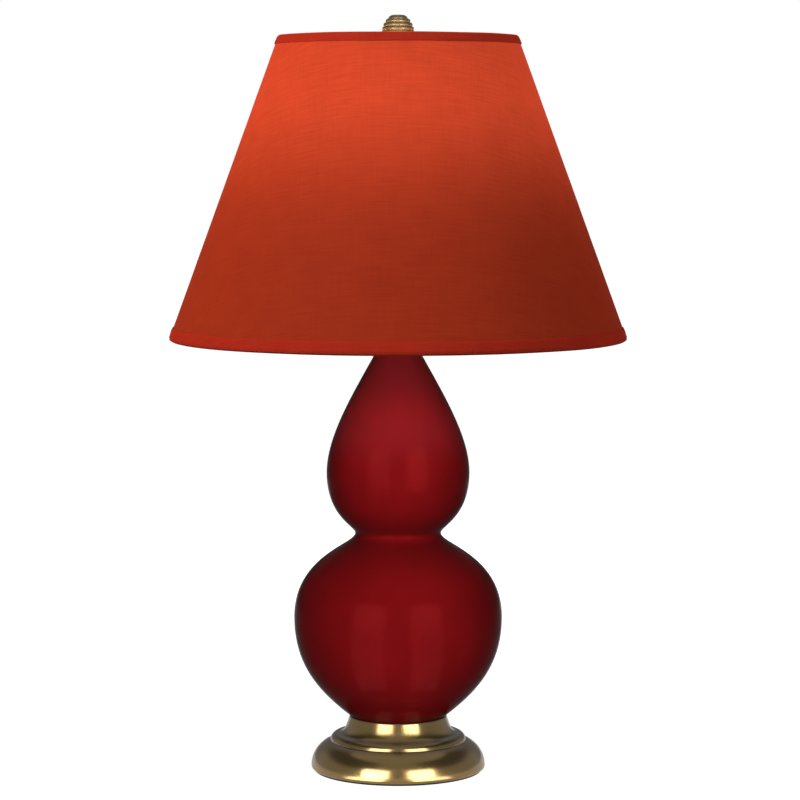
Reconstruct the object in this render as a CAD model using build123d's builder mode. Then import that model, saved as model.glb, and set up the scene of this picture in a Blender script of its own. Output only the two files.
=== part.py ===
from build123d import *
import math
import os

# Table lamp with a double gourd ceramic body, a stepped brass foot and a cone shade.
# Millimetres. +Z is up, the origin is the centre of the foot's underside,
# -Y is the front of the lamp and +Y is the back, where the cord comes out.

# ---------------------------------------------------------------- sizes: fits
seat_gap = 0.1  # between pieces that rest on each other and can come apart
slip_gap = 0.15  # round the pipe and other plain fits, on the radius
turn_gap = 0.08  # round a turning shaft, on the radius
press_gap = 0.05  # between pieces that are crimped, screwed or cemented together, on the radius

# ---------------------------------------------------------------- sizes: foot
felt_thickness = 1.2
felt_inset = 2.6  # how far the felt stays inside the foot's edge
foot_wall = 1.6
foot_spread = 13.9  # from the step out to the widest part of the foot
foot_dome_radius = 19.4
foot_curl_inside = 0.6
foot_flange_width = 9.0
step_round = 4.9
shoulder_flat = 0.4
cove_radius = 7.8
cup_radius = 36.1  # where the cove would end if its wall stood upright
cup_lip_radius = 35.2
cup_lip_height = 4.5
flare_lean = 21.0  # degrees that the cup's wall leans out at its lip
flare_handle_down = 6.6  # lengths of the curve handles of the flare from the lip to the shoulder
flare_handle_in = 5.2
cup_lip_wall = 1.0
cup_depth = 6.2
cup_lip_round = 0.45
foot_web_thickness = 2.0

# ---------------------------------------------------------------- sizes: cord outlet
outlet_angle = 18.0  # degrees above level, square to the foot's wall there
outlet_bore_radius = 3.0
outlet_barrel_wall = 1.1
outlet_barrel_length = 6.4
outlet_flange_width = 1.7
outlet_flange_thickness = 1.6
outlet_flange_round = 0.64
outlet_snap_height = 0.5
outlet_snap_length = 1.2

# ---------------------------------------------------------------- sizes: weight, pipe and nuts
pipe_radius = 4.85
pipe_wall = 1.45
pipe_tail = 1.5  # how far the pipe stands below its nut
pipe_head = 2.2  # how far the pipe stands inside the socket cap
weight_radius = 42.0
weight_thickness = 11.0
weight_boss_radius = 18.0
weight_boss_height = 7.0
weight_edge_round = 1.5
pipe_washer_radius = 12.0
pipe_washer_thickness = 1.5
locknut_flats = 16.0
locknut_thickness = 4.0
nut_corner = 0.62  # how far the corners of the nuts are turned back

# ---------------------------------------------------------------- sizes: gourd body
gasket_thickness = 1.0
gasket_width = 16.0
gourd_wall = 5.5
gourd_floor = 6.0
gourd_floor_hole_radius = 8.0
gourd_foot_clearance = 0.4  # between the ceramic foot and the brass cup
gourd_foot_height = 5.3
lower_belly_radius = 75.3
lower_belly_height = 78.2  # heights are above the ceramic foot
waist_radius = 31.1
waist_height = 139.0
upper_belly_radius = 51.6
upper_belly_height = 183.2
gourd_top_radius = 13.4
gourd_height = 274.9
gourd_top_slope = 0.54  # radius lost for each millimetre of height at the top
gourd_top_round = 1.0
# lengths of the curve handles that set how full each stretch of the outline is
foot_handle_out = 24.0
foot_handle_up = 19.0
lower_belly_handle_down = 35.4
lower_belly_handle_up = 44.0
waist_handle_down = 8.9
waist_handle_up = 5.8
upper_belly_handle_down = 32.6
upper_belly_handle_up = 27.7
gourd_top_handle = 30.0

# ---------------------------------------------------------------- sizes: neck hardware
vase_cap_overhang = 1.3
vase_cap_edge = 1.2
vase_cap_edge_slope = 0.3  # run out for each millimetre of fall at the edge
vase_cap_height = 3.5
vase_cap_spigot_height = 3.0
vase_cap_spigot_wall = 2.2
neck_tube_radius = 6.8
neck_tube_height = 15.5
neck_bead_width = 1.3
neck_bead_height = 1.6
neck_bead_round = 0.56

# ---------------------------------------------------------------- sizes: harp
saddle_thickness = 1.6
saddle_width = 9.0
saddle_hub_radius = 11.0
ear_centre = 28.0  # from the lamp's axis
ear_width = 6.5
ear_shoulder_width = 11.0
ear_shoulder_height = 2.4  # above the saddle plate
ear_height = 14.4
ear_tip_round = 1.95
saddle_nut_flats = 15.0
saddle_nut_thickness = 4.0
harp_height = 190.0  # from the saddle's upper face to the seat of the shade
harp_half_width = 57.0
harp_wire_radius = 1.6
harp_leg_height = 32.0  # straight part, above the saddle's upper face
harp_spread_height = 68.0
harp_shoulder_height = 120.0
harp_top_half_width = 34.0
harp_bend_share = 0.45  # of the shorter straight run, taken up by the bend at its end
harp_foot_thickness = 1.6
harp_foot_width = 6.0
harp_foot_height = 14.5
harp_collar_wall = 0.95
harp_collar_height = 7.0
harp_collar_overlap = 1.0
sleeve_wall = 0.8
sleeve_clearance = 1.0
sleeve_height = 11.0
sleeve_round = 0.32
harp_head_radius = 6.0
harp_head_height = 4.6
stud_shoulder_radius = 8.5
stud_shoulder_thickness = 1.2
stud_radius = 3.15
stud_length = 14.0
stud_chamfer = 0.47

# ---------------------------------------------------------------- sizes: socket
cap_boss_radius = 7.4
cap_boss_height = 6.0
cap_wall = 0.6
cap_rim_height = 4.0
socket_radius = 16.0
socket_wall = 0.5
socket_height = 47.0
socket_lip_radius = 0.8
liner_wall = 0.8
core_radius = 14.2
core_height = 26.0
core_screw_recess = 4.6
core_screw_recess_width = 8.0
core_screw_recess_height = 9.0
terminal_head_radius = 2.8
terminal_head_thickness = 1.6
terminal_shank_radius = 1.4
terminal_shank_length = 4.0
set_screw_radius = 1.5
set_screw_stand_out = 0.9
set_screw_slot_width = 0.5
set_screw_slot_depth = 0.6
shell_thread_wall = 0.35
contact_radius = 3.6
contact_height = 1.6
contact_round = 0.64

# ---------------------------------------------------------------- sizes: switch
switch_height = 13.0  # shaft centre above the bottom of the socket core
switch_shaft_radius = 1.9
switch_shaft_depth = 9.0  # how deep the shaft reaches into the core
switch_shaft_grip = 9.0  # how deep the shaft reaches into the knob
switch_hole_gap = 0.6  # round the shaft, through the shell and its liner
switch_knob_radius = 5.4
switch_knob_length = 15.0
switch_knob_stand_off = 1.2
switch_knob_flutes = 14
switch_knob_flute_radius = 0.7
switch_knob_flute_out = 0.21  # from the knob's side out to the flute's centre
switch_knob_round = 0.9

# ---------------------------------------------------------------- sizes: bulb
bulb_thread_radius = 13.0
bulb_thread_pitch = 3.6
bulb_thread_depth = 0.6
bulb_thread_turns = 5
bulb_cap_wall = 0.4
bulb_cap_collar = 3.5
bulb_tip_radius = 4.2
bulb_tip_height = 1.5
bulb_tip_round = 0.9
bulb_insulator_height = 3.6
bulb_insulator_top_radius = 11.2
bulb_radius = 30.0
bulb_neck_radius = 11.6
bulb_neck_depth = 4.0
bulb_centre_height = 50.0  # above the metal cap
bulb_wall = 0.8
bulb_neck_handle = 18.0
bulb_shoulder_handle = 22.0
stem_height = 24.0
stem_tip_radius = 3.6
stem_flare_height = 11.0
stem_flare_handle = 5.5
lead_radius = 0.4
lead_spread = 11.0
lead_foot_spread = 2.0
lead_rise = 26.0
filament_radius = 0.5
filament_sag = 3.0

# ---------------------------------------------------------------- sizes: shade
shade_bottom_radius = 165.0
shade_top_radius = 85.8
shade_height = 217.3
trim_thickness = 0.6
cover_thickness = 0.7
liner_thickness = 0.6
glue_gap = 0.05
bottom_trim_height = 8.7
top_trim_height = 7.0
ring_wire_radius = 1.25
ring_pocket_gap = 0.1
trim_return = 2.6  # how much further the turned-in edge runs up past the wire
washer_radius = 11.0
washer_hole_radius = 5.6
washer_thickness = 1.5
spider_arms = 3
spider_arm_radius = 1.4
spider_arm_bearing = -86.7  # degrees round from +X of the arm nearest the front
spider_bend_back = 15.0  # the arms start to rise this far inside the ring
spider_bend_radius = 15.0
spider_drop = 7.7  # the washer lies this far below the ring

# ---------------------------------------------------------------- sizes: finial
finial_height = 23.8
finial_foot_radius = 7.6
finial_foot_height = 2.4
finial_foot_bulge = 0.48
finial_neck_radius = 5.6
finial_neck_height = 5.0
finial_tier_radii = (10.9, 11.6, 11.4, 10.4, 8.8)
finial_groove = 0.35
finial_button_radius = 7.0
finial_button_flat = 3.2
finial_button_round = 2.0
finial_button_side = 1.2
finial_thread_gap = 0.1
finial_thread_spare = 1.5

# ---------------------------------------------------------------- heights that follow
bore = pipe_radius + slip_gap

foot_bottom = felt_thickness
curl_radius = foot_curl_inside + foot_wall
step_radius = cup_radius + cove_radius + shoulder_flat + step_round
foot_radius = step_radius + foot_spread
dome_centre = foot_radius - foot_dome_radius
dome_foot = foot_bottom + curl_radius
step_offset = foot_dome_radius - foot_spread
dome_sweep = math.degrees(math.acos(step_offset / foot_dome_radius))
step_bottom = dome_foot + foot_dome_radius * math.sin(math.radians(dome_sweep))
shoulder = step_bottom + step_round
cove_top = shoulder + cove_radius
cup_lip = cove_top + cup_lip_height
web_top = cup_lip - cup_depth
web_bottom = web_top - foot_web_thickness

weight_top = web_bottom - weight_boss_height
weight_bottom = weight_top - weight_thickness
locknut_top = weight_bottom - pipe_washer_thickness
pipe_bottom = locknut_top - locknut_thickness - pipe_tail

gourd_foot = web_top + gasket_thickness
gourd_top = gourd_foot + gourd_height
gourd_foot_radius = cup_lip_radius - cup_lip_wall - gourd_foot_clearance
gourd_mouth_radius = gourd_top_radius - gourd_wall

neck_bottom = gourd_top + vase_cap_height
saddle_bottom = neck_bottom + neck_tube_height
saddle_top = saddle_bottom + saddle_thickness
cap_bottom = saddle_top + saddle_nut_thickness
cap_floor = cap_bottom + cap_boss_height
pipe_top = cap_floor + cap_wall + pipe_head

liner_radius = socket_radius - socket_wall - slip_gap
cap_rim_inside = socket_radius + slip_gap
cap_bowl = cap_rim_inside - cap_boss_radius  # inner radius of the cap's round flank
cap_rim_foot = cap_floor + cap_wall + cap_bowl
core_bottom = cap_rim_foot - math.sqrt(cap_bowl**2 - (core_radius - cap_boss_radius) ** 2) + seat_gap
core_top = core_bottom + core_height
socket_bottom = cap_rim_foot + seat_gap
socket_top = socket_bottom + socket_height
switch_centre = core_bottom + switch_height

shell_inside = bulb_thread_radius - bulb_thread_depth + 2 * slip_gap
bulb_tip_bottom = core_top + contact_height + seat_gap
insulator_bottom = bulb_tip_bottom + bulb_tip_height
bulb_cap_bottom = insulator_bottom + bulb_insulator_height
bulb_thread_length = bulb_thread_pitch * bulb_thread_turns
bulb_cap_top = bulb_cap_bottom + bulb_thread_length + bulb_cap_collar
bulb_centre = bulb_cap_top + bulb_centre_height

harp_seat = saddle_top + harp_height
stud_shoulder_bottom = harp_seat - stud_shoulder_thickness
harp_head_bottom = stud_shoulder_bottom - harp_head_height
harp_wire_top = harp_head_bottom + harp_head_height / 2
ear_shoulder = saddle_top + ear_shoulder_height
harp_foot_bottom = ear_shoulder + seat_gap
harp_foot_top = harp_foot_bottom + harp_foot_height
harp_foot_inside = ear_centre + saddle_thickness / 2 + seat_gap
harp_leg_x = harp_foot_inside + harp_foot_thickness / 2
harp_leg_bottom = harp_foot_top
sleeve_centre = (ear_centre - saddle_thickness / 2 + harp_foot_inside + harp_foot_thickness) / 2
sleeve_inside = math.hypot(
    harp_foot_inside + harp_foot_thickness - sleeve_centre,
    max(ear_width, harp_foot_width) / 2,
) + sleeve_clearance

washer_bottom = harp_seat + seat_gap
washer_middle = washer_bottom + washer_thickness / 2
washer_top = washer_bottom + washer_thickness
finial_bottom = washer_top + seat_gap

shade_lean = math.atan2(shade_bottom_radius - shade_top_radius, shade_height)
shade_slant = math.hypot(shade_bottom_radius - shade_top_radius, shade_height)
cover_face = -trim_thickness - glue_gap
liner_face = cover_face - cover_thickness - glue_gap
liner_back = liner_face - liner_thickness
ring_depth = liner_back - ring_pocket_gap - ring_wire_radius
ring_along = trim_thickness + ring_pocket_gap + ring_wire_radius
trim_depth = ring_depth - ring_wire_radius - ring_pocket_gap - trim_thickness
ring_below_top = (shade_slant - ring_along) * math.cos(shade_lean) + ring_depth * math.sin(shade_lean)
shade_bottom = washer_middle + spider_drop - ring_below_top


def on_slant(along, out):
    """Radius and height of a point on the shade, up the slant from its lower edge and out from its face."""
    radius = shade_bottom_radius - along * math.sin(shade_lean) + out * math.cos(shade_lean)
    height = shade_bottom + along * math.cos(shade_lean) + out * math.sin(shade_lean)
    return (radius, height)


def gourd_side(inset):
    """The gourd's outline from its foot to its top, drawn inwards by inset, as four joined curves."""
    foot_point = (gourd_foot_radius - inset, gourd_foot + gourd_foot_height)
    lower = (lower_belly_radius - inset, gourd_foot + lower_belly_height)
    waist = (waist_radius - inset, gourd_foot + waist_height)
    upper = (upper_belly_radius - inset, gourd_foot + upper_belly_height)
    top = (gourd_top_radius - inset, gourd_top)
    flank = Bezier(
        foot_point,
        (foot_point[0] + foot_handle_out, foot_point[1] + foot_handle_up),
        (lower[0], lower[1] - lower_belly_handle_down),
        lower,
    )
    shoulder_curve = Bezier(
        lower,
        (lower[0], lower[1] + lower_belly_handle_up),
        (waist[0], waist[1] - waist_handle_down),
        waist,
    )
    throat = Bezier(
        waist,
        (waist[0], waist[1] + waist_handle_up),
        (upper[0], upper[1] - upper_belly_handle_down),
        upper,
    )
    cone = Bezier(
        upper,
        (upper[0], upper[1] + upper_belly_handle_up),
        (top[0] + gourd_top_slope * gourd_top_handle, top[1] - gourd_top_handle),
        top,
    )
    return flank, shoulder_curve, throat, cone


# ================================================================ foot
# felt pad glued under the foot: the lamp stands on it
with BuildPart() as felt_pad:
    with BuildSketch():
        Circle(foot_radius - felt_inset)
    extrude(amount=felt_thickness)

# spun brass foot: one shell with a rolled edge, a dome, a step, a cove and the cup for the ceramic
with BuildPart() as pedestal:
    with BuildSketch(Plane.XZ):
        with BuildLine():
            Line((0, foot_bottom), (foot_radius - curl_radius, foot_bottom))
            CenterArc((foot_radius - curl_radius, dome_foot), curl_radius, -90, 90)
            dome = CenterArc((dome_centre, dome_foot), foot_dome_radius, 0, dome_sweep)
            CenterArc((step_radius - step_round, step_bottom), step_round, 0, 90)
            Line((step_radius - step_round, shoulder), (cup_radius + cove_radius, shoulder))
            Bezier(
                (cup_radius + cove_radius, shoulder),
                (cup_radius + cove_radius - flare_handle_in, shoulder),
                (
                    cup_lip_radius + flare_handle_down * math.sin(math.radians(flare_lean)),
                    cup_lip - flare_handle_down * math.cos(math.radians(flare_lean)),
                ),
                (cup_lip_radius, cup_lip),
            )
            Line((cup_lip_radius, cup_lip), (0, cup_lip))
            Line((0, cup_lip), (0, foot_bottom))
        make_face()
    revolve(axis=Axis.Z)
    # hollow under the web, one wall inside the outer face
    dome_inside = foot_dome_radius - foot_wall
    riser_offset = step_offset - foot_wall
    riser_bottom = dome_foot + math.sqrt(dome_inside**2 - riser_offset**2)
    inside_sweep = math.degrees(math.acos(riser_offset / dome_inside))
    cove_outside = cove_radius + foot_wall
    web_angle = math.degrees(math.asin((cove_top - web_bottom) / cove_outside))
    web_radius = cup_radius + cove_radius - cove_outside * math.cos(math.radians(web_angle))
    flange_inside = foot_radius - curl_radius - foot_flange_width
    flange_top = foot_bottom + foot_wall
    with BuildSketch(Plane.XZ):
        with BuildLine():
            Line((0, foot_bottom), (flange_inside, foot_bottom))
            Line((flange_inside, foot_bottom), (flange_inside, flange_top))
            Line((flange_inside, flange_top), (foot_radius - curl_radius, flange_top))
            CenterArc((foot_radius - curl_radius, dome_foot), foot_curl_inside, -90, 90)
            CenterArc((dome_centre, dome_foot), dome_inside, 0, inside_sweep)
            Line((step_radius - foot_wall, riser_bottom), (step_radius - foot_wall, step_bottom))
            CenterArc((step_radius - step_round, step_bottom), step_round - foot_wall, 0, 90)
            Line(
                (step_radius - step_round, shoulder - foot_wall),
                (cup_radius + cove_radius, shoulder - foot_wall),
            )
            CenterArc((cup_radius + cove_radius, cove_top), cove_outside, 270, web_angle - 90)
            Line((web_radius, web_bottom), (0, web_bottom))
            Line((0, web_bottom), (0, foot_bottom))
        make_face()
    revolve(axis=Axis.Z, mode=Mode.SUBTRACT)
    # cup for the ceramic foot
    with BuildSketch(Plane.XY.offset(web_top)):
        Circle(cup_lip_radius - cup_lip_wall)
    extrude(amount=cup_depth, mode=Mode.SUBTRACT)
    with BuildSketch(Plane.XY.offset(web_bottom)):
        Circle(bore)
    extrude(amount=foot_web_thickness, mode=Mode.SUBTRACT)
    lip_edges = pedestal.edges().filter_by(GeomType.CIRCLE).group_by(Axis.Z)[-1]
    fillet(lip_edges, cup_lip_round)
    # hole for the cord bushing, square to the dome at the back
    outlet_rise = math.radians(outlet_angle)
    outlet_plane = Plane(
        origin=(
            0,
            dome_centre + foot_dome_radius * math.cos(outlet_rise),
            dome_foot + foot_dome_radius * math.sin(outlet_rise),
        ),
        x_dir=(1, 0, 0),
        z_dir=(0, math.cos(outlet_rise), math.sin(outlet_rise)),
    )
    outlet_barrel_radius = outlet_bore_radius + outlet_barrel_wall
    with BuildSketch(outlet_plane):
        Circle(outlet_barrel_radius + slip_gap)
    extrude(amount=-outlet_barrel_length, mode=Mode.SUBTRACT)

# bushing that snaps into the foot: a flange outside, a barrel with a snap ring inside
snap_start = foot_wall + 2 * outlet_snap_length
with BuildPart() as cord_bushing:
    with BuildSketch(outlet_plane):
        Circle(outlet_barrel_radius + outlet_flange_width)
    extrude(amount=outlet_flange_thickness)
    fillet(cord_bushing.edges().filter_by(GeomType.CIRCLE), outlet_flange_round)
    with BuildSketch(outlet_plane):
        Circle(outlet_barrel_radius)
    extrude(amount=-outlet_barrel_length)
    with BuildSketch(outlet_plane.offset(-snap_start)):
        Circle(outlet_barrel_radius + outlet_snap_height)
    extrude(amount=-outlet_snap_length)
    with BuildSketch(outlet_plane.offset(-outlet_barrel_length)):
        Circle(outlet_bore_radius)
    extrude(amount=outlet_barrel_length + outlet_flange_thickness, mode=Mode.SUBTRACT)

# cast iron weight under the web
with BuildPart() as base_weight:
    with BuildSketch(Plane.XY.offset(weight_bottom)):
        Circle(weight_radius)
    extrude(amount=weight_thickness)
    fillet(base_weight.edges().filter_by(GeomType.CIRCLE), weight_edge_round)
    with BuildSketch(Plane.XY.offset(weight_top)):
        Circle(weight_boss_radius)
    extrude(amount=weight_boss_height)
    with BuildSketch(Plane.XY.offset(weight_bottom)):
        Circle(bore)
    extrude(amount=weight_thickness + weight_boss_height, mode=Mode.SUBTRACT)

with BuildPart() as pipe_washer:
    with BuildSketch(Plane.XY.offset(locknut_top)):
        Circle(pipe_washer_radius)
        Circle(bore, mode=Mode.SUBTRACT)
    extrude(amount=pipe_washer_thickness)


def hexagon_nut(flats, thickness, bottom):
    """A hexagonal nut with rounded-off corners, round the pipe."""
    with BuildPart() as nut:
        with BuildSketch(Plane.XY.offset(bottom)):
            RegularPolygon(flats / 2, 6, major_radius=False)
            Circle(bore, mode=Mode.SUBTRACT)
        extrude(amount=thickness)
        with BuildSketch(Plane.XZ):
            with BuildLine():
                Polyline(
                    (0, bottom),
                    (flats / 2, bottom),
                    (flats / 2 + 2 * nut_corner, bottom + nut_corner),
                    (flats / 2 + 2 * nut_corner, bottom + thickness - nut_corner),
                    (flats / 2, bottom + thickness),
                    (0, bottom + thickness),
                    close=True,
                )
            make_face()
        revolve(axis=Axis.Z, mode=Mode.INTERSECT)
    return nut


pipe_locknut = hexagon_nut(locknut_flats, locknut_thickness, locknut_top - locknut_thickness)

# threaded pipe that ties the stack together and carries the wires
with BuildPart() as lamp_pipe:
    with BuildSketch(Plane.XY.offset(pipe_bottom)):
        Circle(pipe_radius)
        Circle(pipe_radius - pipe_wall, mode=Mode.SUBTRACT)
    extrude(amount=pipe_top - pipe_bottom)

# ================================================================ gourd body
with BuildPart() as seat_gasket:
    with BuildSketch(Plane.XY.offset(web_top)):
        Circle(gourd_foot_radius)
        Circle(gourd_foot_radius - gasket_width, mode=Mode.SUBTRACT)
    extrude(amount=gasket_thickness)

# glazed ceramic, hollow, with a hole through its floor and an open top
with BuildPart() as gourd_body:
    floor_top = gourd_foot + gourd_floor
    with BuildSketch(Plane.XZ):
        with BuildLine():
            gourd_side(0)
            Line((gourd_top_radius, gourd_top), (0, gourd_top))
            Line((0, gourd_top), (0, gourd_foot))
            Line((0, gourd_foot), (gourd_foot_radius, gourd_foot))
            Line((gourd_foot_radius, gourd_foot), (gourd_foot_radius, gourd_foot + gourd_foot_height))
        make_face()
    revolve(axis=Axis.Z)
    with BuildSketch(Plane.XZ):
        with BuildLine():
            gourd_side(gourd_wall)
            Line((gourd_mouth_radius, gourd_top), (0, gourd_top))
            Line((0, gourd_top), (0, gourd_foot + gourd_foot_height))
            Line(
                (0, gourd_foot + gourd_foot_height),
                (gourd_foot_radius - gourd_wall, gourd_foot + gourd_foot_height),
            )
        make_face()
        with BuildLine():
            Polyline(
                (0, gourd_foot),
                (gourd_foot_radius, gourd_foot),
                (gourd_foot_radius, floor_top),
                (0, floor_top),
                close=True,
            )
        make_face(mode=Mode.SUBTRACT)
    revolve(axis=Axis.Z, mode=Mode.SUBTRACT)
    with BuildSketch(Plane.XY.offset(gourd_foot)):
        Circle(gourd_floor_hole_radius)
    extrude(amount=gourd_floor, mode=Mode.SUBTRACT)
    top_edges = gourd_body.edges().filter_by(GeomType.CIRCLE).group_by(Axis.Z)[-1]
    fillet(top_edges.sort_by(SortBy.RADIUS)[-1], gourd_top_round)

# ================================================================ neck hardware
# brass cap that centres the pipe in the gourd's mouth
with BuildPart() as vase_cap:
    cap_edge_radius = gourd_top_radius + vase_cap_overhang
    spigot_radius = gourd_mouth_radius - slip_gap
    with BuildSketch(Plane.XZ):
        with BuildLine():
            Polyline(
                (bore, gourd_top - vase_cap_spigot_height),
                (bore, neck_bottom),
                (neck_tube_radius + neck_bead_width, neck_bottom),
            )
            Spline(
                (neck_tube_radius + neck_bead_width, neck_bottom),
                (cap_edge_radius, gourd_top + vase_cap_edge),
                tangents=((1, 0), (vase_cap_edge_slope, -1)),
            )
            Polyline(
                (cap_edge_radius, gourd_top + vase_cap_edge),
                (cap_edge_radius, gourd_top),
                (spigot_radius, gourd_top),
                (spigot_radius, gourd_top - vase_cap_spigot_height),
                (bore, gourd_top - vase_cap_spigot_height),
            )
        make_face()
    revolve(axis=Axis.Z)

# brass spacer tube with a bead at each end
with BuildPart() as neck_tube:
    with BuildSketch(Plane.XY.offset(neck_bottom)):
        Circle(neck_tube_radius)
    extrude(amount=neck_tube_height)
    for bead_bottom in (neck_bottom, saddle_bottom - neck_bead_height):
        with BuildSketch(Plane.XY.offset(bead_bottom)):
            Circle(neck_tube_radius + neck_bead_width)
        extrude(amount=neck_bead_height)
    bead_edges = neck_tube.edges().filter_by(GeomType.CIRCLE)
    outer_edges = [edge for edge in bead_edges if edge.radius > neck_tube_radius + 0.5 * neck_bead_width]
    fillet(outer_edges, neck_bead_round)
    with BuildSketch(Plane.XY.offset(neck_bottom)):
        Circle(bore)
    extrude(amount=neck_tube_height, mode=Mode.SUBTRACT)

# ================================================================ harp
# saddle plate with two upturned ears
with BuildPart() as harp_saddle:
    with BuildSketch(Plane.XY.offset(saddle_bottom)):
        Rectangle(2 * ear_centre + saddle_thickness, saddle_width)
        Circle(saddle_hub_radius)
        Circle(bore, mode=Mode.SUBTRACT)
    extrude(amount=saddle_thickness)
    for tab_width, tab_height in ((ear_shoulder_width, ear_shoulder_height), (ear_width, ear_height)):
        with BuildSketch(Plane.XY.offset(saddle_bottom)):
            with Locations((-ear_centre, 0), (ear_centre, 0)):
                Rectangle(saddle_thickness, tab_width)
        extrude(amount=saddle_thickness + tab_height)
    ear_tips = harp_saddle.edges().filter_by(Axis.X).group_by(Axis.Z)[-1]
    fillet(ear_tips, ear_tip_round)

saddle_nut = hexagon_nut(saddle_nut_flats, saddle_nut_thickness, saddle_top)

# one bent steel wire that goes round the bulb
with BuildPart() as harp_bow:
    side_points = [
        (harp_leg_x, harp_leg_bottom),
        (harp_leg_x, saddle_top + harp_leg_height),
        (harp_half_width, saddle_top + harp_spread_height),
        (harp_half_width, saddle_top + harp_shoulder_height),
        (harp_top_half_width, harp_wire_top),
    ]
    bow_points = side_points + [(-x, z) for x, z in reversed(side_points)]

    def bend_radius(before, corner, after):
        """Radius of the arc that takes up the named share of the shorter run at this corner."""
        run_in = math.dist(before, corner)
        run_out = math.dist(corner, after)
        turn = (Vector(*corner) - Vector(*before)).get_angle(Vector(*after) - Vector(*corner))
        return harp_bend_share * min(run_in, run_out) / math.tan(math.radians(turn / 2))

    bow_radii = [bend_radius(*bow_points[i : i + 3]) for i in range(len(bow_points) - 2)]
    with BuildLine(Plane.XZ) as bow_path:
        FilletPolyline(*bow_points, radius=bow_radii)
    with BuildSketch(Plane.XY.offset(harp_leg_bottom)):
        with Locations((harp_leg_x, 0)):
            Circle(harp_wire_radius)
    sweep(path=bow_path.wires()[0])


def harp_foot(side):
    """Flat foot that stands against the ear, with the collar that grips the wire. side is -1 or 1."""
    foot_middle = side * (harp_foot_inside + harp_foot_thickness / 2)
    with BuildPart() as foot:
        with BuildSketch(Plane.XY.offset(harp_foot_bottom)):
            with Locations((foot_middle, 0)):
                Rectangle(harp_foot_thickness, harp_foot_width)
        extrude(amount=harp_foot_height)
        with BuildSketch(Plane.XY.offset(harp_foot_top - harp_collar_overlap)):
            with Locations((foot_middle, 0)):
                Circle(harp_wire_radius + press_gap + harp_collar_wall)
        extrude(amount=harp_collar_overlap + harp_collar_height)
        with BuildSketch(Plane.XY.offset(harp_foot_top)):
            with Locations((foot_middle, 0)):
                Circle(harp_wire_radius + press_gap)
        extrude(amount=harp_collar_height, mode=Mode.SUBTRACT)
    return foot


harp_foot_left = harp_foot(-1)
harp_foot_right = harp_foot(1)


def harp_sleeve(side):
    """Sleeve that locks the harp's foot to the ear. It slides up to free it. side is -1 or 1."""
    with BuildPart() as sleeve:
        with BuildSketch(Plane.XY.offset(harp_foot_bottom)):
            with Locations((side * sleeve_centre, 0)):
                Circle(sleeve_inside + sleeve_wall)
                Circle(sleeve_inside, mode=Mode.SUBTRACT)
        extrude(amount=sleeve_height)
        rims = sleeve.edges().filter_by(GeomType.CIRCLE).sort_by(SortBy.RADIUS)[-2:]
        fillet(rims, sleeve_round)
    return sleeve


harp_sleeve_left = harp_sleeve(-1)
harp_sleeve_right = harp_sleeve(1)

# brass block that grips the wire at the top
with BuildPart() as harp_head:
    with BuildSketch(Plane.XY.offset(harp_head_bottom)):
        Circle(harp_head_radius)
    extrude(amount=harp_head_height)
    with BuildSketch(Plane.YZ.offset(-harp_head_radius)):
        with Locations((0, harp_wire_top)):
            Circle(harp_wire_radius + slip_gap)
    extrude(amount=2 * harp_head_radius, mode=Mode.SUBTRACT)

# threaded stud with the round seat that carries the shade
with BuildPart() as harp_stud:
    with BuildSketch(Plane.XY.offset(stud_shoulder_bottom)):
        Circle(stud_shoulder_radius)
    extrude(amount=stud_shoulder_thickness)
    with BuildSketch(Plane.XY.offset(harp_seat)):
        Circle(stud_radius)
    extrude(amount=stud_length)
    chamfer(harp_stud.faces().sort_by(Axis.Z)[-1].edges(), stud_chamfer)

# ================================================================ socket
# brass cap: a threaded boss and a round bowl
with BuildPart() as socket_cap:
    cap_outer_bowl = cap_bowl + cap_wall
    cap_rim_top = cap_rim_foot + cap_rim_height
    with BuildSketch(Plane.XZ):
        with BuildLine():
            Line((bore, cap_bottom), (cap_boss_radius, cap_bottom))
            Line((cap_boss_radius, cap_bottom), (cap_boss_radius, cap_floor))
            CenterArc((cap_boss_radius, cap_rim_foot), cap_outer_bowl, -90, 90)
            Line((cap_rim_inside + cap_wall, cap_rim_foot), (cap_rim_inside + cap_wall, cap_rim_top))
            Line((cap_rim_inside + cap_wall, cap_rim_top), (cap_rim_inside, cap_rim_top))
            Line((cap_rim_inside, cap_rim_top), (cap_rim_inside, cap_rim_foot))
            CenterArc((cap_boss_radius, cap_rim_foot), cap_bowl, 0, -90)
            Line((cap_boss_radius, cap_floor + cap_wall), (bore, cap_floor + cap_wall))
            Line((bore, cap_floor + cap_wall), (bore, cap_bottom))
        make_face()
    revolve(axis=Axis.Z)
    with BuildSketch(Plane.YZ):
        with Locations((0, cap_bottom + cap_boss_height / 2)):
            Circle(set_screw_radius + press_gap)
    extrude(amount=cap_boss_radius, mode=Mode.SUBTRACT)

with BuildPart() as cap_set_screw:
    screw_end = cap_boss_radius + set_screw_stand_out
    with BuildSketch(Plane.YZ.offset(bore)):
        with Locations((0, cap_bottom + cap_boss_height / 2)):
            Circle(set_screw_radius)
    extrude(amount=screw_end - bore)
    with BuildSketch(Plane.YZ.offset(screw_end - set_screw_slot_depth)):
        with Locations((0, cap_bottom + cap_boss_height / 2)):
            Rectangle(2 * set_screw_radius, set_screw_slot_width)
    extrude(amount=set_screw_slot_depth, mode=Mode.SUBTRACT)

switch_plane = Plane(origin=(0, 0, switch_centre), x_dir=(1, 0, 0), z_dir=(0, -1, 0))

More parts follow.
